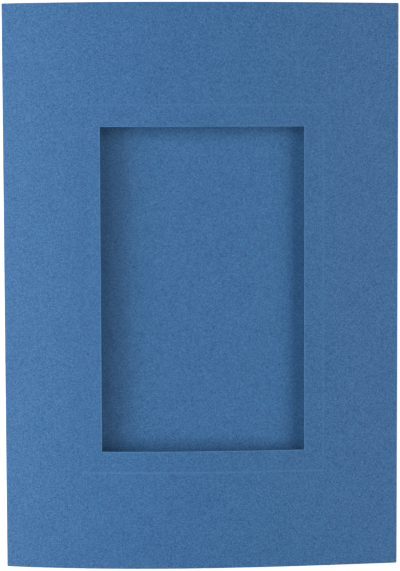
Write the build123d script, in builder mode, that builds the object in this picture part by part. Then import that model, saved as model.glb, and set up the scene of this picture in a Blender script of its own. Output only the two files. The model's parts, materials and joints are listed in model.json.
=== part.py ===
"""A window card for a picture: one strip of blue card stock, creased twice into three panels.

The strip folds as an accordion. The back panel lies on the table. The page fold at its right edge
carries the picture panel, which lies flat on it. The cover fold at the picture panel's left edge
carries the window panel, which arches over the picture and frames it with a die-cut window.

Lengths are in millimetres. X runs across the folds, Y along them and Z up through the window.
The origin is under the middle of the card, on the surface that it lies on.
"""

import os
from math import cos, radians, sin

from build123d import *

# Driving dimensions
CARD_WIDTH = 105.0  # closed card, across the folds
CARD_HEIGHT = 150.0  # along the folds
STOCK = 0.3  # thickness of the card stock
FOLD_GAP = 0.2  # air between two closed panels, beside their fold
WINDOW_WIDTH = 53.9
WINDOW_HEIGHT = 86.0
WINDOW_DROP = 0.55  # the window's centre lies this far below the card's centre
WINDOW_ASIDE = 0.2  # and this far to the right of it
LINE_WIDTH = 0.9  # the line pressed round the window
LINE_DEPTH = 0.05
LINE_FROM_SIDES = 5.1  # from the window's edge to the middle of the line
LINE_FROM_ENDS = 5.7
FREE_EDGE_SHY = 0.25  # the window panel stops short of the page fold's outside by this much
CROWN_RISE = 4.9  # how far the window panel arches above its own long edges
CROWN_FROM_COVER_FOLD = 43.0
SLOPE_AT_COVER_FOLD = 13.0  # degrees, where the arch leaves the fold
SLOPE_AT_FREE_EDGE = 7.0  # degrees, where the arch comes down again

# A fold is half a tube round its turning axis
FOLD_INSIDE = FOLD_GAP / 2
FOLD_OUTSIDE = FOLD_INSIDE + STOCK
FOLD_X = CARD_WIDTH / 2 - FOLD_OUTSIDE  # both turning axes stand this far from the middle
LEAF_PITCH = STOCK + FOLD_GAP
PAGE_FOLD_Z = STOCK + FOLD_GAP / 2
COVER_FOLD_Z = PAGE_FOLD_Z + LEAF_PITCH


def arch_line(reach):
    """The window panel's section as a curve, reach above the line through the cover fold's axis."""
    rise, fall = radians(SLOPE_AT_COVER_FOLD), radians(SLOPE_AT_FREE_EDGE)
    fold_end = (-FOLD_X - reach * sin(rise), COVER_FOLD_Z + reach * cos(rise))
    crown = (CROWN_FROM_COVER_FOLD - CARD_WIDTH / 2, COVER_FOLD_Z + CROWN_RISE + reach)
    free_foot = CARD_WIDTH / 2 - FREE_EDGE_SHY - FOLD_OUTSIDE * sin(fall)
    free_end = (free_foot + reach * sin(fall), COVER_FOLD_Z + reach * cos(fall))
    return Spline(
        fold_end,
        crown,
        free_end,
        tangents=[(cos(rise), sin(rise)), (cos(fall), -sin(fall))],
    )


def fold_section(axis_x, axis_z, start_angle, turn):
    """A fold's section: an arc of the stock round its turning axis."""
    axis = (axis_x, axis_z)
    with BuildSketch(Plane.XZ) as section:
        with BuildLine():
            outside = CenterArc(axis, FOLD_OUTSIDE, start_angle, turn)
            inside = CenterArc(axis, FOLD_INSIDE, start_angle, turn)
            Line(outside @ 0, inside @ 0)
            Line(outside @ 1, inside @ 1)
        make_face()
    return section.sketch


# Back panel: flat on the table, from its free edge on the left to the page fold on the right
with BuildPart() as back_panel:
    with BuildSketch() as back_outline:
        with Locations(((FOLD_X - CARD_WIDTH / 2) / 2, 0)):
            Rectangle(CARD_WIDTH / 2 + FOLD_X, CARD_HEIGHT)
    extrude(amount=STOCK)

# Picture panel: flat, between the two folds
with BuildPart() as picture_panel:
    with BuildSketch(Plane.XY.offset(LEAF_PITCH)) as picture_outline:
        Rectangle(2 * FOLD_X, CARD_HEIGHT)
    extrude(amount=STOCK)

# Page fold: joins the back panel to the picture panel, round the right edge
with BuildPart() as page_fold:
    section = fold_section(FOLD_X, PAGE_FOLD_Z, -90, 180)
    extrude(section, amount=CARD_HEIGHT / 2, both=True)

# Cover fold: joins the picture panel to the window panel, round the left edge. It stops where the
# window panel leaves it on a slope
with BuildPart() as cover_fold:
    wrap = 180 - SLOPE_AT_COVER_FOLD
    section = fold_section(-FOLD_X, COVER_FOLD_Z, 90 + SLOPE_AT_COVER_FOLD, wrap)
    extrude(section, amount=CARD_HEIGHT / 2, both=True)

# A cutter for the pressed line: a frame round the window, down to just under the arched surface
with BuildPart() as line_cutter:
    with BuildSketch(Plane.XZ) as above_the_line:
        with BuildLine():
            line_floor = arch_line(FOLD_OUTSIDE - LINE_DEPTH)
            ceiling = COVER_FOLD_Z + 2 * CROWN_RISE
            Polyline(
                line_floor @ 0,
                ((line_floor @ 0).X, ceiling),
                ((line_floor @ 1).X, ceiling),
                line_floor @ 1,
            )
        make_face()
    extrude(amount=CARD_HEIGHT / 2, both=True)
    line_width = WINDOW_WIDTH + 2 * LINE_FROM_SIDES
    line_height = WINDOW_HEIGHT + 2 * LINE_FROM_ENDS
    with BuildSketch() as line_frame:
        with Locations((WINDOW_ASIDE, -WINDOW_DROP)):
            Rectangle(line_width + LINE_WIDTH, line_height + LINE_WIDTH)
            Rectangle(line_width - LINE_WIDTH, line_height - LINE_WIDTH, mode=Mode.SUBTRACT)
    extrude(amount=ceiling, mode=Mode.INTERSECT)

# Window panel: the arched front, with its window and the pressed line
with BuildPart() as window_panel:
    with BuildSketch(Plane.XZ) as arch_section:
        with BuildLine():
            under = arch_line(FOLD_INSIDE)
            over = arch_line(FOLD_OUTSIDE)
            Line(under @ 0, over @ 0)
            Line(under @ 1, over @ 1)
        make_face()
    extrude(amount=CARD_HEIGHT / 2, both=True)
    with BuildSketch() as window_outline:
        with Locations((WINDOW_ASIDE, -WINDOW_DROP)):
            Rectangle(WINDOW_WIDTH, WINDOW_HEIGHT)
    extrude(amount=ceiling, mode=Mode.SUBTRACT)
    add(line_cutter.part, mode=Mode.SUBTRACT)

nodes = {
    "back_panel": back_panel,
    "picture_panel": picture_panel,
    "window_panel": window_panel,
    "page_fold": page_fold,
    "cover_fold": cover_fold,
}
os.makedirs("parts", exist_ok=True)
for node, piece in nodes.items():
    piece.part.label = node
    export_step(piece.part, f"parts/{node}.step")
    print(f"{node}: {piece.part.volume:.1f} mm3, {piece.part.bounding_box()}")
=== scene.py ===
# %% [markdown]
# # A folded window card
# A window card holds a small picture behind a die-cut opening. The real one is a single strip of
# dyed card stock, cut by a die and creased twice, so that it folds up like an accordion into a back
# panel, a picture panel and a window panel that arches a few millimetres over the picture.
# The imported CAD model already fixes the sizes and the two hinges. What is left for Blender is the
# paper itself: thin panels with cut edges, a line pressed round the window, two round folds, and
# the grain of the stock. The first cell loads the CAD model and keeps the size of its box.

# %% Load the frame
import json
import math

import bmesh
import bpy
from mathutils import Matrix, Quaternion, Vector, noise


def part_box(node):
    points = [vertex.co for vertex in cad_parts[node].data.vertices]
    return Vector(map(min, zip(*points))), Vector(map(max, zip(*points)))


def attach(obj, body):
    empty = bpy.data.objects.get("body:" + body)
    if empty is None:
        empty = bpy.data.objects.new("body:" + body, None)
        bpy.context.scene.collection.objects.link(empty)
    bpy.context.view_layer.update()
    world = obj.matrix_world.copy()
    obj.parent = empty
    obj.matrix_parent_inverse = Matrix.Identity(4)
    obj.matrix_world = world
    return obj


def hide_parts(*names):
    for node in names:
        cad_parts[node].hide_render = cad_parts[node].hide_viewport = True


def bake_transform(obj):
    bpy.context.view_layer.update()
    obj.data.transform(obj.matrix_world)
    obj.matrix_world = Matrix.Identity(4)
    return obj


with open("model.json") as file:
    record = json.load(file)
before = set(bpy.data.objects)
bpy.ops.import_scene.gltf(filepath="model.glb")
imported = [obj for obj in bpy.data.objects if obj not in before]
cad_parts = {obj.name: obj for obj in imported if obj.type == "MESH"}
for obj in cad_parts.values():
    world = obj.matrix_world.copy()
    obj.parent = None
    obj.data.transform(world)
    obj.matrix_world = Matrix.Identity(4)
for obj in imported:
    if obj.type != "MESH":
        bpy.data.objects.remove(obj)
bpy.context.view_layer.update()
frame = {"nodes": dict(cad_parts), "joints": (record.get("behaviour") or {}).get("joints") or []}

print("CAD nodes:", sorted(frame["nodes"]))

# %% [markdown]
# ## Sizes
# Blender works in metres here, and a card is easier to think about in millimetres, so one constant
# converts. Everything that the CAD model knows is read from it: the two turning axes come from the
# joints, and the thickness of the stock is the height of the flat back panel.
# A fold is half a tube round its axis, so its inner radius is what lies between axis and panel.

# %% Sizes read from the frame
MM = 0.001
ACROSS, ALONG, UP = Vector((1, 0, 0)), Vector((0, 1, 0)), Vector((0, 0, 1))

axes = {joint["name"]: Vector(joint["pos_m"]) for joint in frame["joints"]}
page_axis, cover_axis = axes["page_turn"], axes["cover_turn"]
back_low, back_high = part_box("back_panel")
picture_low, picture_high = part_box("picture_panel")
window_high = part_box("window_panel")[1]

stock = back_high.z - back_low.z
fold_inside = page_axis.z - back_high.z
fold_outside = fold_inside + stock
half_height = back_high.y
print(f"stock {stock / MM:.2f} mm, fold radius {fold_inside / MM:.2f} to {fold_outside / MM:.2f} mm")

# %% [markdown]
# ## The strip
# A paper engineer draws the card as one flat strip before it is folded. The same idea helps here:
# each point of the paper keeps its place on the flat strip, and all the patterns are drawn there.
# The grain then runs on from panel to fold to panel without a seam, as it does in real stock, and
# it stays with the paper when the card opens. Along the strip, zero is where the window panel
# leaves the cover fold. The arched window panel counts straight across, which leaves out less than
# a millimetre of its length.

# %% Places along the strip
COVER_TURN = math.radians(167.0)  # the window panel leaves the fold on a slope, short of a half turn
PAGE_TURN = math.radians(180.0)
SLOPE_AT_COVER_FOLD = math.pi - COVER_TURN
SLOPE_AT_FREE_EDGE = math.radians(7.0)

fold_middle = (fold_inside + fold_outside) / 2
flat_length = picture_high.x - picture_low.x
window_length = window_high.x - fold_outside * math.sin(SLOPE_AT_FREE_EDGE) - cover_axis.x
cover_fold_start = 0.0
picture_start = cover_fold_start - COVER_TURN * fold_middle
page_fold_start = picture_start - flat_length
back_start = page_fold_start - PAGE_TURN * fold_middle
back_length = page_axis.x - back_low.x
strip_end = back_start - back_length
print(f"flat strip: {(window_length - strip_end) / MM:.1f} x {2 * half_height / MM:.1f} mm")

# %% [markdown]
# ## The arch
# Pulled by its crease, the window panel rises off the picture, tops out nearer to the fold, and
# comes down gently to its free edge. Bent stock follows a smooth curve with no kinks, so the arch
# is two cubic curves that meet at the crown with the same slope and the same bend. The height is a
# function of the place across the card, and a second function lifts any point of the flat panel
# onto it, square to the curve, so that the stock keeps its thickness.

# %% The window panel's arch
CROWN_RISE = 4.9 * MM  # above the fold's axis
CROWN_FROM_EDGE = 43.0 * MM  # from the card's left edge

crown = picture_low.x - fold_outside + CROWN_FROM_EDGE - cover_axis.x
fall = window_length - crown
slope_up = math.tan(SLOPE_AT_COVER_FOLD)
slope_down = -math.tan(SLOPE_AT_FREE_EDGE)
crown_slope = (
    3 * CROWN_RISE * (1 / crown**2 - 1 / fall**2) - slope_up / crown - slope_down / fall
) / (2 / crown + 2 / fall)


def cubic(t, start, end, start_slope, end_slope):
    """A cubic curve from start to end as t goes from 0 to 1."""
    ease = t * t * (3 - 2 * t)
    bend = t * (1 - t)
    return start + (end - start) * ease + start_slope * bend * (1 - t) - end_slope * bend * t


def arch_height(x):
    """Height of the arch over the fold's axis, x from the cover fold towards the free edge."""
    if x < crown:
        return cubic(x / crown, 0, CROWN_RISE, slope_up * crown, crown_slope * crown)
    return cubic((x - crown) / fall, CROWN_RISE, 0, crown_slope * fall, slope_down * fall)


def onto_arch(point):
    """Lifts a point of the flat window panel onto the arch."""
    nudge = 0.01 * MM
    slope = (arch_height(point.x + nudge) - arch_height(point.x - nudge)) / (2 * nudge)
    square = Vector((-slope, 0, 1)).normalized()
    foot = cover_axis + Vector((point.x, point.y, arch_height(point.x)))
    return foot + square * (fold_inside + point.z)


top = onto_arch(Vector((crown, 0, stock))).z
print(f"top of the arch {top / MM:.2f} mm, in the CAD model {window_high.z / MM:.2f} mm")

# %% [markdown]
# ## Cutting a flat blank
# Every panel starts as one rectangle, and the die's lines are cut across it with bisect_plane.
# Cutting gives faces just where they are needed: narrow ones where the stock will be pressed, and
# wide ones elsewhere. The alternative, subdividing evenly, would need far more faces for the same
# crisp line. A helper lists evenly spaced places between two stations.

# %% A blank with its cutting lines
PANEL_STEP = 2.5 * MM
ROW_STEP = 5.0 * MM


def spread(stations, steps):
    """Places from the first station to the last, each stretch divided into about its own step."""
    places = [stations[0]]
    for low, high, step in zip(stations, stations[1:], steps):
        count = max(1, round((high - low) / step))
        places += [low + (high - low) * i / count for i in range(1, count + 1)]
    return places


def cut_blank(stations, rows):
    """A flat sheet over the stations and rows, cut along each of them."""
    bm = bmesh.new()
    bmesh.ops.create_grid(bm, x_segments=1, y_segments=1, size=0.5)
    size = (stations[-1] - stations[0], rows[-1] - rows[0], 1)
    middle = ((stations[-1] + stations[0]) / 2, (rows[-1] + rows[0]) / 2, 0)
    bmesh.ops.scale(bm, vec=size, verts=bm.verts)
    bmesh.ops.translate(bm, vec=middle, verts=bm.verts)
    for direction, places in ((ACROSS, stations[1:-1]), (ALONG, rows[1:-1])):
        for place in places:
            everything = bm.verts[:] + bm.edges[:] + bm.faces[:]
            bmesh.ops.bisect_plane(
                bm, geom=everything, dist=1e-8, plane_co=direction * place, plane_no=direction
            )
    return bm


plain_rows = spread([-half_height, half_height], [ROW_STEP])
print(f"a plain panel has {len(plain_rows)} rows")

# %% [markdown]
# ## Giving the blank its thickness
# Solidify turns the sheet into stock with two faces and four walls. A die shears paper, and that
# leaves its edges very slightly rounded, so the edges between faces and walls get a tiny bevel. The
# end that runs into a fold isn't cut, so it keeps its square section and meets the fold exactly.
# While the panel is still flat, each vertex writes down its place on the strip in an attribute.

# %% Thickness, cut edges and strip places
EDGE_ROUND = 0.04 * MM
EDGE_SEGMENTS = 2
WALL_LIMIT = 0.8  # a face whose normal points less far up than this is part of a wall
FACE_SLOT, EDGE_SLOT = 0, 1
SAME_PLACE = 0.001 * MM


def is_wall(face):
    return abs(face.normal.z) < WALL_LIMIT


def thicken(bm, fold_ends):
    """Gives the sheet its thickness, upwards from zero, and rounds the edges that the die cut."""
    bmesh.ops.solidify(bm, geom=bm.faces[:], thickness=stock)
    lowest = min(v.co.z for v in bm.verts if abs(v.co.x - fold_ends[0]) < SAME_PLACE)
    bmesh.ops.translate(bm, vec=(0, 0, -lowest), verts=bm.verts)
    bmesh.ops.recalc_face_normals(bm, faces=bm.faces)

    def on_fold_end(edge):
        return any(all(abs(v.co.x - end) < SAME_PLACE for v in edge.verts) for end in fold_ends)

    cut = [
        edge
        for edge in bm.edges
        if sorted(is_wall(face) for face in edge.link_faces) == [False, True]
        and not on_fold_end(edge)
    ]
    bmesh.ops.bevel(
        bm,
        geom=cut,
        offset=EDGE_ROUND,
        segments=EDGE_SEGMENTS,
        profile=0.5,
        affect="EDGES",
        material=-1,
    )
    bm.normal_update()
    for face in bm.faces:
        face.material_index = EDGE_SLOT if is_wall(face) else FACE_SLOT


def mark_strip(bm, strip_place):
    """Writes each vertex's place on the flat strip into an attribute, before anything is folded."""
    layer = bm.verts.layers.float_vector.new("strip")
    for vertex in bm.verts:
        vertex[layer] = strip_place(vertex.co)


# %% [markdown]
# ## Finishing a piece
# A finished piece needs the same few things each time: outward normals, smooth shading with sharp
# edges only where the stock was cut, its materials, and its place in the card. A panel rides on one
# body of the frame. Each piece stands for the CAD node of the same shape, so that node is hidden.

# %% From bmesh to a finished piece
SHARP_ANGLE = math.radians(18.0)


def finish_piece(name, bm, materials, node):
    """Turns the bmesh into an object that replaces a CAD node."""
    bmesh.ops.recalc_face_normals(bm, faces=bm.faces)
    for face in bm.faces:
        face.smooth = True
    for edge in bm.edges:
        edge.smooth = edge.calc_face_angle(math.pi) < SHARP_ANGLE
    mesh = bpy.data.meshes.new(name)
    bm.to_mesh(mesh)
    bm.free()
    for material in materials:
        mesh.materials.append(material)
    piece = bpy.data.objects.new(name, mesh)
    bpy.context.scene.collection.objects.link(piece)
    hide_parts(node)
    print(f"{name}: {len(mesh.polygons)} faces, {[round(d / MM, 2) for d in piece.dimensions]} mm")
    return piece


# %% [markdown]
# ## Node helpers
# Materials are built from nodes in code. Three short helpers keep that readable: one adds a node and
# fills its sockets, one does arithmetic, and one mixes two colours. An input that is a socket is
# linked, and any other value is typed in.

# %% Node helpers
def add_node(tree, kind, inputs, **settings):
    """Adds a node. Inputs are filled by name or number, with a socket to link or a value to set."""
    node = tree.nodes.new(kind)
    for name, value in settings.items():
        setattr(node, name, value)
    for name, value in inputs.items():
        if isinstance(value, bpy.types.NodeSocket):
            tree.links.new(value, node.inputs[name])
        else:
            node.inputs[name].default_value = value
    return node


def calculate(tree, operation, *values, clamp=False):
    """A Math node's result."""
    inputs = dict(enumerate(values))
    return add_node(tree, "ShaderNodeMath", inputs, operation=operation, use_clamp=clamp).outputs[0]


def mix_colours(tree, amount, first, second, blend="MIX"):
    """A Mix node's colour."""
    inputs = {0: amount, 6: first, 7: second}
    return add_node(tree, "ShaderNodeMix", inputs, data_type="RGBA", blend_type=blend).outputs[2]


def new_group(name, inputs, outputs):
    """A node group with its sockets. Returns the tree, its inputs and its output node."""
    tree = bpy.data.node_groups.new(name, "ShaderNodeTree")
    for socket_name, kind in inputs.items():
        tree.interface.new_socket(socket_name, in_out="INPUT", socket_type="NodeSocket" + kind)
    for socket_name, kind in outputs.items():
        tree.interface.new_socket(socket_name, in_out="OUTPUT", socket_type="NodeSocket" + kind)
    return tree, tree.nodes.new("NodeGroupInput").outputs, tree.nodes.new("NodeGroupOutput")


def connect(tree, node, sockets):
    """Links each named input of a node."""
    for name, socket in sockets.items():
        tree.links.new(socket, node.inputs[name])


# %% [markdown]
# ## The grain of the stock
# Dyed card stock isn't one flat blue. It is a felt of short fibres that lie in all directions, and
# each takes the dye a little differently. Noise stretched in one direction looks like fibres that
# lie that way, so three stretched noises at different turns are averaged into a felt. A few whole
# fibres lie on top, darker, a millimetre or two long. Slow clouds come from the way the pulp
# settles. The group draws all of it in millimetres of the flat strip, and puts out a tone, a drift
# of hue, the loose fibres and a height.

# %% Group: paper grain
FELT_TURNS = (0.0, 60.0, 120.0)  # degrees
FELT_SIZE = (0.27, 0.10, 0.30)  # mm, length, width and depth of a felted fibre
FELT_CONTRAST = 9.4
FELT_FINENESS = (2.0, 0.6)  # how much finer noise is added to the felt, and how strong it is
FELT_APART = (13.0, 7.0)  # moves each layer of the felt on, so that no two are alike
OFF_GRID = -0.15  # noise is weakest on whole cells, and this keeps both faces of the stock off them
LOOSE_TURNS = (8.0, 62.0, -48.0)  # degrees; most lie near the direction of the paper machine
LOOSE_SIZE = (1.8, 0.32, 0.6)  # mm
LOOSE_APART = (37.0, 11.0)
LOOSE_LEVEL = 5.0  # mm, the level at which the pattern of strokes is cut
LOOSE_SHARE = 0.10
LOOSE_RISE = 0.5  # how far a loose fibre stands up, against the whole swing of the felt
STROKE_REACH = 0.42  # in cells, how far a stroke goes from the middle of its cell
STROKE_EDGE = 4.0  # a larger number ends the stroke more abruptly
CLOUD_SIZE = 9.0  # mm
CLOUD_SHARE = 0.16
CLOUD_PLACE = (9.0, 3.0, 0.0)
HUE_FINENESS = 3.0  # patches of hue in a millimetre
HUE_PLACE = (21.0, 47.0, OFF_GRID)


def noise_value(tree, vector, scale, detail, roughness=0.5):
    inputs = {"Vector": vector, "Scale": scale, "Detail": detail, "Roughness": roughness}
    return add_node(tree, "ShaderNodeTexNoise", inputs, noise_dimensions="3D").outputs["Fac"]


def laid(tree, vector, offset, turn=0.0, size=(1.0, 1.0, 1.0)):
    """Coordinates for a pattern that is moved, turned and drawn at a given size along its axes."""
    inputs = {
        "Vector": vector,
        "Location": offset,
        "Rotation": (0, 0, math.radians(turn)),
        "Scale": size,
    }
    return add_node(tree, "ShaderNodeMapping", inputs, vector_type="TEXTURE").outputs[0]


def felt(tree, place):
    """The average of stretched noises, one for each direction of the felt."""
    total = None
    for number, turn in enumerate(FELT_TURNS):
        offset = (FELT_APART[0] * number, FELT_APART[1] * number, OFF_GRID)
        along = laid(tree, place, offset, turn, FELT_SIZE)
        streaks = noise_value(tree, along, 1.0, *FELT_FINENESS)
        total = streaks if total is None else calculate(tree, "ADD", total, streaks)
    return calculate(tree, "DIVIDE", total, len(FELT_TURNS))


def loose_fibres(tree, place, turn, number):
    """Sparse short strokes that lie near one direction."""
    offset = (LOOSE_APART[0] * number, LOOSE_APART[1] * number, LOOSE_LEVEL)
    along = laid(tree, place, offset, turn, LOOSE_SIZE)
    cells = add_node(
        tree, "ShaderNodeTexVoronoi", {"Vector": along, "Scale": 1.0}, voronoi_dimensions="3D"
    )
    reach = calculate(tree, "SUBTRACT", STROKE_REACH, cells.outputs["Distance"])
    stroke = calculate(tree, "MULTIPLY", reach, STROKE_EDGE, clamp=True)
    chance = add_node(tree, "ShaderNodeSeparateColor", {0: cells.outputs["Color"]}).outputs[0]
    chosen = calculate(tree, "LESS_THAN", chance, LOOSE_SHARE)
    return calculate(tree, "MULTIPLY", stroke, chosen)


def make_paper_grain():
    tree, given, result = new_group(
        "paper_grain",
        {"Vector": "Vector"},
        {"Tone": "Float", "Hue": "Float", "Fibres": "Float", "Height": "Float"},
    )
    place = given["Vector"]
    bed = felt(tree, place)
    clouds = noise_value(tree, laid(tree, place, CLOUD_PLACE), 1 / CLOUD_SIZE, 2.0)
    hue = noise_value(tree, laid(tree, place, HUE_PLACE), HUE_FINENESS, 1.0)
    fibres = None
    for number, turn in enumerate(LOOSE_TURNS, start=1):
        layer = loose_fibres(tree, place, turn, number)
        fibres = layer if fibres is None else calculate(tree, "MAXIMUM", fibres, layer)
    bed_swing = calculate(tree, "MULTIPLY_ADD", bed, FELT_CONTRAST, 0.5 - FELT_CONTRAST / 2)
    cloud_swing = calculate(tree, "MULTIPLY_ADD", clouds, CLOUD_SHARE, -CLOUD_SHARE / 2)
    tone = calculate(tree, "ADD", bed_swing, cloud_swing, clamp=True)
    height = calculate(tree, "MULTIPLY_ADD", fibres, LOOSE_RISE, tone)
    connect(tree, result, {"Tone": tone, "Hue": hue, "Fibres": fibres, "Height": height})
    return tree


paper_grain = make_paper_grain()
print("paper_grain nodes:", len(paper_grain.nodes))

# %% [markdown]
# ## Dye on the grain
# The second group turns the grain into a colour. Fibres that took much dye are deep, those that took
# little are pale, and the tone runs between the two. The hue drifts a little between violet and
# green, and loose fibres are darker than the bed. Roughness changes slightly with the same grain,
# because a raised fibre is smoother than the felt round it. The shader itself stays with each
# material, which gives the group its own pair of colours.

# %% Group: dyed stock
VIOLET_DRIFT = (1.30, 0.96, 1.01, 1.0)
GREEN_DRIFT = (0.70, 1.04, 0.99, 1.0)
HUE_LOW, HUE_HIGH = 0.3, 0.7  # the part of the hue noise over which the drift runs
LOOSE_FIBRE_TINT = (0.35, 0.35, 0.40, 1.0)
FELT_ROUGHNESS = 0.56
RAISED_SMOOTHER = -0.08


def make_dyed_stock():
    tree, given, result = new_group(
        "dyed_stock",
        {"Vector": "Vector", "Deep": "Color", "Pale": "Color", "Fibre Strength": "Float"},
        {"Color": "Color", "Roughness": "Float", "Height": "Float"},
    )
    grain = add_node(tree, "ShaderNodeGroup", {}, node_tree=paper_grain)
    tree.links.new(given["Vector"], grain.inputs["Vector"])
    colour = mix_colours(tree, grain.outputs["Tone"], given["Deep"], given["Pale"])
    drift = add_node(
        tree,
        "ShaderNodeMapRange",
        {"Value": grain.outputs["Hue"], "From Min": HUE_LOW, "From Max": HUE_HIGH},
    ).outputs[0]
    tint = mix_colours(tree, drift, VIOLET_DRIFT, GREEN_DRIFT)
    colour = mix_colours(tree, 1.0, colour, tint, "MULTIPLY")
    dark = calculate(tree, "MULTIPLY", grain.outputs["Fibres"], given["Fibre Strength"])
    shade = mix_colours(tree, 1.0, colour, LOOSE_FIBRE_TINT, "MULTIPLY")
    colour = mix_colours(tree, dark, colour, shade)
    height = grain.outputs["Height"]
    roughness = calculate(tree, "MULTIPLY_ADD", height, RAISED_SMOOTHER, FELT_ROUGHNESS)
    connect(tree, result, {"Color": colour, "Roughness": roughness, "Height": height})
    return tree


dyed_stock = make_dyed_stock()
print("dyed_stock nodes:", len(dyed_stock.nodes))

# %% [markdown]
# ## Distance to a die line
# The die's lines are rectangles, so the pale lines along them are best drawn from the distance to a
# rectangle: wear and painted highlight along the cut edges, and painted sheen along the pressed
# line.
# The group takes a point of the strip, the rectangle's middle and its half size, and puts out how
# far outside the rectangle the point lies. Inside, the number is negative. A second group makes a
# mask
# from a distance: full on the line and gone at a given width, broken up by noise.

# %% Groups: rectangle distance and pale line of wear and painted highlight
PATCH_FINENESS = 0.9  # patches in a millimetre
PATCH_LIMIT = 0.75  # where the noise is below this, the line starts to fade


def make_rectangle_distance():
    tree, given, result = new_group(
        "rectangle_distance",
        {"Vector": "Vector", "Middle": "Vector", "Half Size": "Vector"},
        {"Distance": "Float"},
    )
    moved = add_node(
        tree, "ShaderNodeVectorMath", {0: given["Vector"], 1: given["Middle"]}, operation="SUBTRACT"
    )
    folded = add_node(tree, "ShaderNodeVectorMath", {0: moved.outputs[0]}, operation="ABSOLUTE")
    beyond = add_node(
        tree,
        "ShaderNodeVectorMath",
        {0: folded.outputs[0], 1: given["Half Size"]},
        operation="SUBTRACT",
    )
    parts = add_node(tree, "ShaderNodeSeparateXYZ", {0: beyond.outputs[0]})
    distance = calculate(tree, "MAXIMUM", parts.outputs["X"], parts.outputs["Y"])
    connect(tree, result, {"Distance": distance})
    return tree


# mask of a pale line: wear along cut edges, painted highlight and painted sheen
def make_wear_and_highlight_line():
    tree, given, result = new_group(
        "wear_and_highlight_line",
        {"Vector": "Vector", "Distance": "Float", "Width": "Float", "Unevenness": "Float"},
        {"Mask": "Float"},
    )
    near = calculate(tree, "ABSOLUTE", given["Distance"])
    share = calculate(tree, "DIVIDE", near, given["Width"])
    near_mask = add_node(
        tree,
        "ShaderNodeMapRange",
        {"Value": share, "From Min": 1.0, "From Max": 0.0},
        interpolation_type="SMOOTHSTEP",
    ).outputs[0]
    patches = noise_value(tree, given["Vector"], PATCH_FINENESS, 2.0)
    gap = calculate(tree, "SUBTRACT", PATCH_LIMIT, patches, clamp=True)
    lost = calculate(tree, "MULTIPLY", gap, given["Unevenness"])
    kept = calculate(tree, "SUBTRACT", 1.0, lost, clamp=True)
    connect(tree, result, {"Mask": calculate(tree, "MULTIPLY", near_mask, kept)})
    return tree


rectangle_distance = make_rectangle_distance()
wear_and_highlight_line = make_wear_and_highlight_line()
print("wear_and_highlight_line nodes:", len(wear_and_highlight_line.nodes))

# %% [markdown]
# ## The window and the pressed line
# The die cuts a window through the panel, a hair below and to the right of its middle. About five
# millimetres outside it runs a pressed line, where the stock steps down by about a seventh of a
# millimetre towards the window. It is the plate mark of a picture mount, and it shows mostly where
# light grazes the step. These sizes are needed by the material, which paints a pale sheen along the
# line, and by the mesh, which steps.

# %% Die lines round the window
WINDOW_WIDTH, WINDOW_HEIGHT = 53.9 * MM, 86.0 * MM
WINDOW_DROP = 0.55 * MM  # below the middle of the card
WINDOW_ASIDE = 0.2 * MM  # and to the right of it
LINE_FROM_SIDES, LINE_FROM_ENDS = 5.1 * MM, 5.7 * MM
LINE_WIDTH = 0.9 * MM
LINE_DEPTH = 0.15 * MM

window_middle = Vector((WINDOW_ASIDE - cover_axis.x, -WINDOW_DROP, 0))
window_half = Vector((WINDOW_WIDTH / 2, WINDOW_HEIGHT / 2, 0))
line_half = window_half + Vector((LINE_FROM_SIDES, LINE_FROM_ENDS, 0))
strip_middle = Vector(((window_length + strip_end) / 2, 0, 0))
strip_half = Vector(((window_length - strip_end) / 2, half_height, 0))
print("pressed line:", [round(2 * side / MM, 1) for side in line_half.xy], "mm")

# %% [markdown]
# ## The face of the card
# One material serves both sides of all three panels, because it is one sheet. The dyed stock gives
# colour, roughness and height. Two pale lines are added. One runs along every edge that the die cut:
# partly fibres lifted by the die, partly a painted highlight of the edge. A faint one runs along the
# pressed line: a painted sheen, paler than the rest, where the stock is also smoother. The shine is
# low and broad, as on uncoated paper, with a little sheen from fibre ends seen at a shallow angle.

# %% Material: card face
DEEP_DYE = (0.0005, 0.078, 0.250, 1.0)
PALE_DYE = (0.0715, 0.224, 0.464, 1.0)
# pale line along every cut edge: partly lifted fibres, partly a painted highlight of the edge
LIFTED_FIBRE_AND_HIGHLIGHT = (0.100, 0.290, 0.560, 1.0)
# painted sheen along the pressed line, paler than the stock
PRESSED_LINE_SHEEN = (0.060, 0.190, 0.420, 1.0)
FACE_FIBRES = 0.35  # how dark loose fibres are, from 0 to 1
FACE_SHEEN = 0.05
GRAIN_DEPTH = 0.020 * MM
WINDOW_RIM = (0.32, 0.8)  # width in mm and unevenness of a pale line: lifted fibres and painted highlight
OUTER_RIM = (0.12, 2.2)
PRESSED_RIM = (0.45, 0.6)
RIM_STRENGTH = 0.85
PRESSED_STRENGTH = 0.6
PRESSED_SMOOTHER = -0.08
PAPER_SPECULAR = 0.42
SHEEN_ROUGHNESS = 0.6


def strip_coordinates(tree):
    """Places on the strip, in millimetres."""
    place = add_node(tree, "ShaderNodeAttribute", {}, attribute_name="strip")
    inputs = {"Vector": place.outputs["Vector"], "Scale": (1 / MM, 1 / MM, 1 / MM)}
    return add_node(tree, "ShaderNodeMapping", inputs).outputs[0]


def line_mask(tree, place, middle, half, width, unevenness):
    """The mask of a pale line along a rectangle of the die, for wear, painted highlight and painted
    sheen.
    """
    distance = add_node(tree, "ShaderNodeGroup", {}, node_tree=rectangle_distance)
    distance.inputs["Middle"].default_value = middle / MM
    distance.inputs["Half Size"].default_value = half / MM
    tree.links.new(place, distance.inputs["Vector"])
    line_group = add_node(tree, "ShaderNodeGroup", {}, node_tree=wear_and_highlight_line)
    connect(tree, line_group, {"Vector": place, "Distance": distance.outputs["Distance"]})
    line_group.inputs["Width"].default_value = width
    line_group.inputs["Unevenness"].default_value = unevenness
    return line_group.outputs["Mask"]


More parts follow.
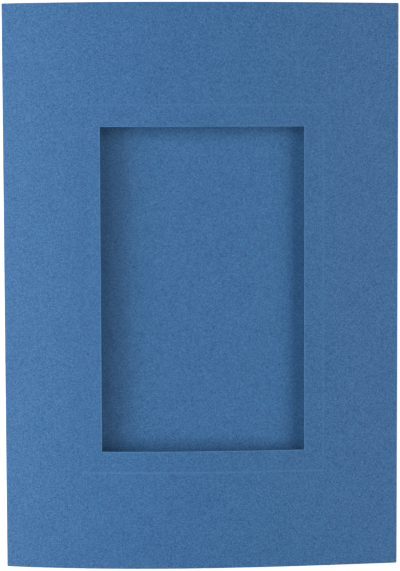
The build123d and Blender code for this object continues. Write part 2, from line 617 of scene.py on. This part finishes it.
def stock_nodes(tree, place, deep, pale, fibre_strength):
    """The dyed stock's outputs."""
    stock_group = add_node(tree, "ShaderNodeGroup", {}, node_tree=dyed_stock)
    connect(tree, stock_group, {"Vector": place})
    stock_group.inputs["Deep"].default_value = deep
    stock_group.inputs["Pale"].default_value = pale
    stock_group.inputs["Fibre Strength"].default_value = fibre_strength
    return stock_group.outputs


def paper_shader(tree, colour, roughness, height, depth, sheen):
    """An uncoated paper surface."""
    bump = add_node(
        tree, "ShaderNodeBump", {"Height": height, "Strength": 1.0, "Distance": depth}
    ).outputs[0]
    shader = add_node(
        tree,
        "ShaderNodeBsdfPrincipled",
        {"Base Color": colour, "Roughness": roughness, "Normal": bump},
    )
    shader.inputs["Specular IOR Level"].default_value = PAPER_SPECULAR
    shader.inputs["Sheen Weight"].default_value = sheen
    shader.inputs["Sheen Roughness"].default_value = SHEEN_ROUGHNESS
    add_node(tree, "ShaderNodeOutputMaterial", {"Surface": shader.outputs[0]})


def new_material(name):
    material = bpy.data.materials.new(name)
    material.use_nodes = True
    material.node_tree.nodes.clear()
    return material


def make_card_face():
    material = new_material("card_face")
    tree = material.node_tree
    place = strip_coordinates(tree)
    paper = stock_nodes(tree, place, DEEP_DYE, PALE_DYE, FACE_FIBRES)
    window_rim = line_mask(tree, place, window_middle, window_half, *WINDOW_RIM)
    outer_rim = line_mask(tree, place, strip_middle, strip_half, *OUTER_RIM)
    pressed = line_mask(tree, place, window_middle, line_half, *PRESSED_RIM)
    rim = calculate(tree, "MAXIMUM", window_rim, outer_rim)
    pressed_amount = calculate(tree, "MULTIPLY", pressed, PRESSED_STRENGTH)
    rim_amount = calculate(tree, "MULTIPLY", rim, RIM_STRENGTH)
    # painted sheen along the pressed line
    colour = mix_colours(tree, pressed_amount, paper["Color"], PRESSED_LINE_SHEEN)
    # pale rim along the cut edges: lifted fibres and painted highlight
    colour = mix_colours(tree, rim_amount, colour, LIFTED_FIBRE_AND_HIGHLIGHT)
    roughness = calculate(tree, "MULTIPLY_ADD", pressed, PRESSED_SMOOTHER, paper["Roughness"])
    paper_shader(tree, colour, roughness, paper["Height"], GRAIN_DEPTH, FACE_SHEEN)
    return material


card_face = make_card_face()
print("card_face nodes:", len(card_face.node_tree.nodes))

# %% [markdown]
# ## The cut edge
# Where the die sheared the stock, its inside shows: the same dye, since the card is dyed right
# through, but as a rough bed of layered fibre ends. Stretching a noise along the edge and squeezing
# it across the thickness draws those layers. The bump is deeper than on the face.

# %% Material: cut edge
EDGE_DEEP = (0.020, 0.090, 0.235, 1.0)
EDGE_PALE = (0.048, 0.158, 0.350, 1.0)
LAYER_PALE = (0.062, 0.190, 0.400, 1.0)
EDGE_FIBRES = 0.3
EDGE_SHEEN = 0.05
EDGE_DEPTH = 0.03 * MM
LAYER_SIZE = (0.8, 0.8, 0.07)  # mm, long in both directions of the sheet and thin across it
LAYER_FINENESS = (3.0, 0.6)
LAYER_LOW, LAYER_HIGH = 0.45, 0.75  # the part of the noise over which a layer turns pale
LAYER_ROUGHER = 0.06


def make_cut_edge():
    material = new_material("cut_edge")
    tree = material.node_tree
    place = strip_coordinates(tree)
    paper = stock_nodes(tree, place, EDGE_DEEP, EDGE_PALE, EDGE_FIBRES)
    layered = laid(tree, place, (0.0, 0.0, 0.0), size=LAYER_SIZE)
    layers = noise_value(tree, layered, 1.0, *LAYER_FINENESS)
    lines = add_node(
        tree, "ShaderNodeMapRange", {"Value": layers, "From Min": LAYER_LOW, "From Max": LAYER_HIGH}
    ).outputs[0]
    colour = mix_colours(tree, lines, paper["Color"], LAYER_PALE)
    height = calculate(tree, "ADD", paper["Height"], layers)
    roughness = calculate(tree, "MULTIPLY_ADD", lines, LAYER_ROUGHER, paper["Roughness"])
    paper_shader(tree, colour, roughness, height, EDGE_DEPTH, EDGE_SHEEN)
    return material


cut_edge = make_cut_edge()
print("cut_edge nodes:", len(cut_edge.node_tree.nodes))

# %% [markdown]
# ## The fold
# Creasing stretches the outer fibres. They part in fine cracks that run along the fold and show
# paler fibre ends. The cracks are a noise stretched along the fold, kept to the outside of the
# bend. Which side of the stock that is differs between the two folds of an accordion, so the fold's
# material takes the depth through the stock where its outside lies.

# %% Material: fold
STRETCHED = (0.070, 0.205, 0.420, 1.0)
FOLD_FIBRES = 0.3
FOLD_SHEEN = 0.08
CRACK_DEPTH = 0.02 * MM
CRACK_SIZE = (0.11, 1.25, 1.0)  # mm, narrow across the fold and long along it
CRACK_FINENESS = (3.0, 0.6)
CRACK_LOW, CRACK_HIGH = 0.42, 0.70  # the part of the noise over which a crack opens
CRACK_STRENGTH = 0.8


def make_fold_stock(name, outside_depth):
    material = new_material(name)
    tree = material.node_tree
    place = strip_coordinates(tree)
    paper = stock_nodes(tree, place, DEEP_DYE, PALE_DYE, FOLD_FIBRES)
    along_fold = laid(tree, place, (0.0, 0.0, 0.0), size=CRACK_SIZE)
    cracks = noise_value(tree, along_fold, 1.0, *CRACK_FINENESS)
    depth = add_node(tree, "ShaderNodeSeparateXYZ", {0: place}).outputs["Z"]
    outside = add_node(
        tree,
        "ShaderNodeMapRange",
        {"Value": depth, "From Min": stock / MM - outside_depth, "From Max": outside_depth},
        interpolation_type="SMOOTHSTEP",
    ).outputs[0]
    pale = add_node(
        tree, "ShaderNodeMapRange", {"Value": cracks, "From Min": CRACK_LOW, "From Max": CRACK_HIGH}
    ).outputs[0]
    crack = calculate(tree, "MULTIPLY", pale, outside)
    amount = calculate(tree, "MULTIPLY", crack, CRACK_STRENGTH)
    colour = mix_colours(tree, amount, paper["Color"], STRETCHED)
    height = calculate(tree, "MULTIPLY_ADD", crack, -CRACK_STRENGTH, paper["Height"])
    paper_shader(tree, colour, paper["Roughness"], height, CRACK_DEPTH, FOLD_SHEEN)
    return material


cover_fold_stock = make_fold_stock("cover_fold_stock", stock / MM)
page_fold_stock = make_fold_stock("page_fold_stock", 0.0)
print("fold stock nodes:", len(page_fold_stock.node_tree.nodes))

# %% [markdown]
# ## The back panel and the picture panel
# These two lie flat. Each is a plain blank with its strip places marked, then turned the way it lies
# in the closed card. The strip doubles back at every fold, so the picture panel runs the other way
# and its depth is counted from its top face.

# %% Flat panels
def make_flat_panel(name, length, fold_ends, strip_place, in_card, body, node):
    bm = cut_blank(spread([0, length], [PANEL_STEP]), plain_rows)
    thicken(bm, fold_ends)
    mark_strip(bm, strip_place)
    for vertex in bm.verts:
        vertex.co = in_card(vertex.co)
    piece = finish_piece(name, bm, [card_face, cut_edge], node)
    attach(piece, body)


make_flat_panel(
    "back_panel_stock",
    back_length,
    [0.0],
    lambda p: Vector((back_start - p.x, p.y, p.z)),
    lambda p: Vector((page_axis.x - p.x, p.y, back_low.z + p.z)),
    "back_leaf",
    "back_panel",
)
make_flat_panel(
    "picture_panel_stock",
    flat_length,
    [0.0, flat_length],
    lambda p: Vector((picture_start - p.x, p.y, stock - p.z)),
    lambda p: Vector((picture_low.x + p.x, p.y, picture_low.z + p.z)),
    "picture_leaf",
    "picture_panel",
)

# %% [markdown]
# ## The window panel
# The blank is cut along the window, and along seven lines across each side of the pressed line. The
# faces inside the window are deleted, the stock inside the pressed line is stepped down, and only
# then does the sheet get its thickness, so the step shows on the underside too, as it does in
# pressed stock. The places on the strip are those from before the press, because the fibres go down
# with the paper. Last, the flat panel is lifted onto its arch.

# %% Window panel
LINE_STEP = 0.15 * MM


def die_stations(low, middle, window, line, high):
    """Cutting places along one direction: the pressed line in fine steps, the rest in wide ones."""
    stations, steps = [low], []
    for side in (-1, 1):
        line_place = middle + side * line
        sides = [line_place - LINE_WIDTH / 2, line_place + LINE_WIDTH / 2]
        edge = middle + side * window
        stations += sides + [edge] if side < 0 else [edge] + sides
        steps += [PANEL_STEP, LINE_STEP, PANEL_STEP]
    return stations + [high], steps + [PANEL_STEP]


def pressed_depth(point):
    """How far the die has pressed the stock down at a point of the flat panel."""
    beyond = point - window_middle
    distance = max(abs(beyond.x) - line_half.x, abs(beyond.y) - line_half.y)
    share = min(1.0, max(0.0, 0.5 - distance / LINE_WIDTH))
    return LINE_DEPTH * share * share * (3 - 2 * share)


def make_window_panel():
    stations = spread(*die_stations(0, window_middle.x, window_half.x, line_half.x, window_length))
    rows = spread(
        *die_stations(-half_height, window_middle.y, window_half.y, line_half.y, half_height)
    )
    bm = cut_blank(stations, rows)
    in_window = [
        face
        for face in bm.faces
        if abs(face.calc_center_median().x - window_middle.x) < window_half.x
        and abs(face.calc_center_median().y - window_middle.y) < window_half.y
    ]
    bmesh.ops.delete(bm, geom=in_window, context="FACES")
    for vertex in bm.verts:
        vertex.co.z = -pressed_depth(vertex.co)
    thicken(bm, [0.0])
    mark_strip(bm, lambda p: p + UP * pressed_depth(p))
    for vertex in bm.verts:
        vertex.co = onto_arch(vertex.co)
    return finish_piece("window_panel_stock", bm, [card_face, cut_edge], "window_panel")


window = make_window_panel()
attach(window, "window_leaf")

# %% [markdown]
# ## The folds
# A fold is the stock bent round its axis, and spin is the tool for that: it turns a section of the
# stock, a thin upright rectangle with rounded corners, through the fold's angle. Only the outside
# skin of the turned section remains. A crease is never perfectly even, so the outer radius wanders
# by a hundredth of a millimetre or so along the fold. Each fold is made as it lies in the closed
# card.

# %% Folds
FOLD_STEP = math.radians(7.5)
FOLD_ROW_STEP = 1.0 * MM
UNEVEN_OUTSIDE = 0.012 * MM
UNEVEN_PER_METRE = 300.0


def make_fold(name, axis, start_angle, turn, strip_place, material, node):
    bm = cut_blank([fold_inside, fold_outside], spread([-half_height, half_height], [FOLD_ROW_STEP]))
    corners = [v for v in bm.verts if abs(abs(v.co.y) - half_height) < SAME_PLACE]
    bmesh.ops.bevel(
        bm,
        geom=corners,
        offset=EDGE_ROUND,
        segments=EDGE_SEGMENTS,
        profile=0.5,
        affect="VERTICES",
        material=-1,
    )
    section = bm.verts[:] + bm.edges[:] + bm.faces[:]
    bmesh.ops.spin(
        bm,
        geom=section,
        cent=(0, 0, 0),
        axis=-ALONG,
        angle=turn,
        steps=round(turn / FOLD_STEP),
        use_merge=False,
        use_duplicate=False,
    )
    layer = bm.verts.layers.float_vector.new("strip")
    for vertex in bm.verts:
        radius = math.hypot(vertex.co.x, vertex.co.z)
        turned = math.atan2(vertex.co.z, vertex.co.x) % math.tau
        vertex[layer] = strip_place(turned, vertex.co.y, radius)
        wander = noise.noise(Vector((start_angle, vertex.co.y * UNEVEN_PER_METRE, turned)))
        middle_share = math.sin(math.pi * turned / turn) if turned < turn else 0.0
        outer_share = (radius - fold_inside) / stock
        swell = 1 + UNEVEN_OUTSIDE * wander * middle_share * outer_share / radius
        vertex.co.x *= swell
        vertex.co.z *= swell
    start = Quaternion(-ALONG, start_angle)
    for vertex in bm.verts:
        vertex.co = axis + start @ vertex.co
    return finish_piece(name, bm, [material], node)


HALF_TURN = math.pi
cover_fold = make_fold(
    "cover_fold_stock",
    cover_axis,
    HALF_TURN / 2 + SLOPE_AT_COVER_FOLD,
    COVER_TURN,
    lambda turned, y, radius: Vector((-turned * fold_middle, y, radius - fold_inside)),
    cover_fold_stock,
    "cover_fold",
)
page_fold = make_fold(
    "page_fold_stock",
    page_axis,
    -HALF_TURN / 2,
    PAGE_TURN,
    lambda turned, y, radius: Vector(
        (back_start + turned * fold_middle, y, fold_outside - radius)
    ),
    page_fold_stock,
    "page_fold",
)

# %% [markdown]
# ## Where the folds stay
# Each fold's placement is baked into its mesh, and a line names the two leaves it lies between.
# Nothing here makes a fold follow the leaves when the card opens.

# %% Fold placement baked
def blend_fold(piece, lower, upper):
    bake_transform(piece)
    print(f"{piece.name}: follows {lower} below and {upper} above")


blend_fold(page_fold, "back_leaf", "picture_leaf")
blend_fold(cover_fold, "picture_leaf", "window_leaf")

# %% [markdown]
# ## Floor
# The card lies on a plain pale sheet of opal acrylic, lit from below, as small goods are often
# shown: the glow keeps contact shadows from turning the table grey. It isn't part of the object.

# %% Floor
FLOOR_SIZE = 4.0
FLOOR_CLEARANCE = 0.05 * MM  # two faces in one plane would flicker
FLOOR_GLOW = 0.66
FLOOR_WHITE = (0.90, 0.90, 0.90, 1.0)
FLOOR_SHADE = (0.87, 0.87, 0.87, 1.0)
FLOOR_MOTTLE = 6.0  # patches in a metre
FLOOR_ROUGHNESS = 0.9
FLOOR_SPECULAR = 0.1


def make_floor():
    bm = bmesh.new()
    bmesh.ops.create_grid(bm, x_segments=1, y_segments=1, size=FLOOR_SIZE / 2)
    bmesh.ops.translate(bm, vec=UP * -FLOOR_CLEARANCE, verts=bm.verts)
    mesh = bpy.data.meshes.new("floor")
    bm.to_mesh(mesh)
    bm.free()
    material = new_material("floor_white")
    tree = material.node_tree
    place = add_node(tree, "ShaderNodeTexCoord", {}).outputs["Object"]
    mottle = noise_value(tree, laid(tree, place, (0.0, 0.0, 0.0)), FLOOR_MOTTLE, 2.0)
    colour = mix_colours(tree, mottle, FLOOR_WHITE, FLOOR_SHADE)
    shader = add_node(
        tree, "ShaderNodeBsdfPrincipled", {"Base Color": colour, "Roughness": FLOOR_ROUGHNESS}
    )
    shader.inputs["Specular IOR Level"].default_value = FLOOR_SPECULAR
    shader.inputs["Emission Color"].default_value = FLOOR_WHITE
    shader.inputs["Emission Strength"].default_value = FLOOR_GLOW
    add_node(tree, "ShaderNodeOutputMaterial", {"Surface": shader.outputs[0]})
    mesh.materials.append(material)
    floor = bpy.data.objects.new("floor", mesh)
    bpy.context.scene.collection.objects.link(floor)
    print("floor lies", round(FLOOR_CLEARANCE / MM, 2), "mm under the card")


make_floor()

# %% [markdown]
# ## Light
# Flat paper needs light from low on both sides, or its relief disappears. Two low soft boxes on the
# left, one above the other, brighten the slope that faces them. A larger one on the right stands
# further away and is about as strong at the card. Both sides throw a soft shadow from the window's
# edge onto the picture panel, and the lower a box stands, the wider its shadow. A weak box higher
# on the left gives that slope its broad shine. Two faint boxes beyond the card's top and bottom
# ends soften the ends of the window. The two low lamps on the left are slightly cooler than the one
# on the right, which tints the two shadows differently. Each box is placed by its bearing round the
# card and by its angle from straight above.

# %% Soft boxes
def soft_box(name, bearing, from_zenith, distance, width, depth, power, colour=(1.0, 1.0, 1.0)):
    """An area light that faces the card. Bearing 0 is to the right, 90 towards the card's top."""
    data = bpy.data.lights.new(name, "AREA")
    data.shape = "RECTANGLE"
    data.size, data.size_y = width, depth
    data.energy = power
    data.color = colour
    light = bpy.data.objects.new(name, data)
    around, down = math.radians(bearing), math.radians(from_zenith)
    flat = Vector((math.cos(around), math.sin(around), 0)) * math.sin(down)
    direction = flat + UP * math.cos(down)
    light.location = direction * distance
    light.rotation_mode = "QUATERNION"
    light.rotation_quaternion = direction.to_track_quat("Z", "Y")
    bpy.context.scene.collection.objects.link(light)
    print(f"{name}: {power} W at {distance} m, {from_zenith} degrees from straight above")


COOL = (0.90, 1.0, 1.02)
WARM = (1.04, 1.0, 0.98)
soft_box("left_low_box", 180, 69, 0.60, 0.60, 0.14, 1.96, COOL)
soft_box("left_box", 180, 58, 0.60, 0.60, 0.14, 1.46, COOL)
soft_box("left_fill", 180, 39, 0.40, 0.50, 0.22, 0.42)
soft_box("right_box", 0, 54, 0.90, 1.00, 0.50, 6.15, WARM)
soft_box("top_box", 90, 38, 0.90, 0.30, 0.30, 0.42)
soft_box("near_box", 270, 38, 0.90, 0.30, 0.30, 0.20)

# %% [markdown]
# ## Surroundings
# The studio round the card is pale. Seen directly it should look pale too, but it must not wash out
# the soft boxes, so the world shows one strength to the camera and gives a much weaker one as light.
# The Standard view keeps white paper white, where a filmic view would grey it.

# %% World and view
WORLD_LIGHT = 0.01
WORLD_SEEN = 0.90


def make_world():
    world = bpy.data.worlds.new("studio")
    world.use_nodes = True
    tree = world.node_tree
    tree.nodes.clear()
    seen = add_node(tree, "ShaderNodeLightPath", {}).outputs["Is Camera Ray"]
    strength = calculate(tree, "MULTIPLY_ADD", seen, WORLD_SEEN - WORLD_LIGHT, WORLD_LIGHT)
    background = add_node(
        tree, "ShaderNodeBackground", {"Color": (1.0, 1.0, 1.0, 1.0), "Strength": strength}
    )
    add_node(tree, "ShaderNodeOutputWorld", {"Surface": background.outputs[0]})
    return world


bpy.context.scene.world = make_world()
bpy.context.scene.view_settings.view_transform = "Standard"
print("world:", WORLD_SEEN, "to the camera,", WORLD_LIGHT, "as light")

# %% [markdown]
# ## Camera
# The card is seen from above through a long lens, from half a metre away, so its edges stay almost
# parallel. The camera stands a little to the left of the card's middle and towards its top, and
# tilts back to face the card. The three small turns are set in the order Z, Y, X, so that the first
# one rolls the camera about its own line of sight.

# %% Camera
CAMERA_PLACE = (-0.01416, 0.03479, 0.5)
CAMERA_TURNS = (-0.0690, -0.0274, -0.0054)  # radians about X, Y and Z
LENS = 118.3  # millimetres, for a sensor 36 mm on its long side

camera_data = bpy.data.cameras.new("camera")
camera_data.lens = LENS
camera = bpy.data.objects.new("camera", camera_data)
camera.location = CAMERA_PLACE
camera.rotation_mode = "ZYX"
camera.rotation_euler = CAMERA_TURNS
bpy.context.scene.collection.objects.link(camera)
bpy.context.scene.camera = camera
print("camera is", round(camera.location.z, 3), "m above the table")
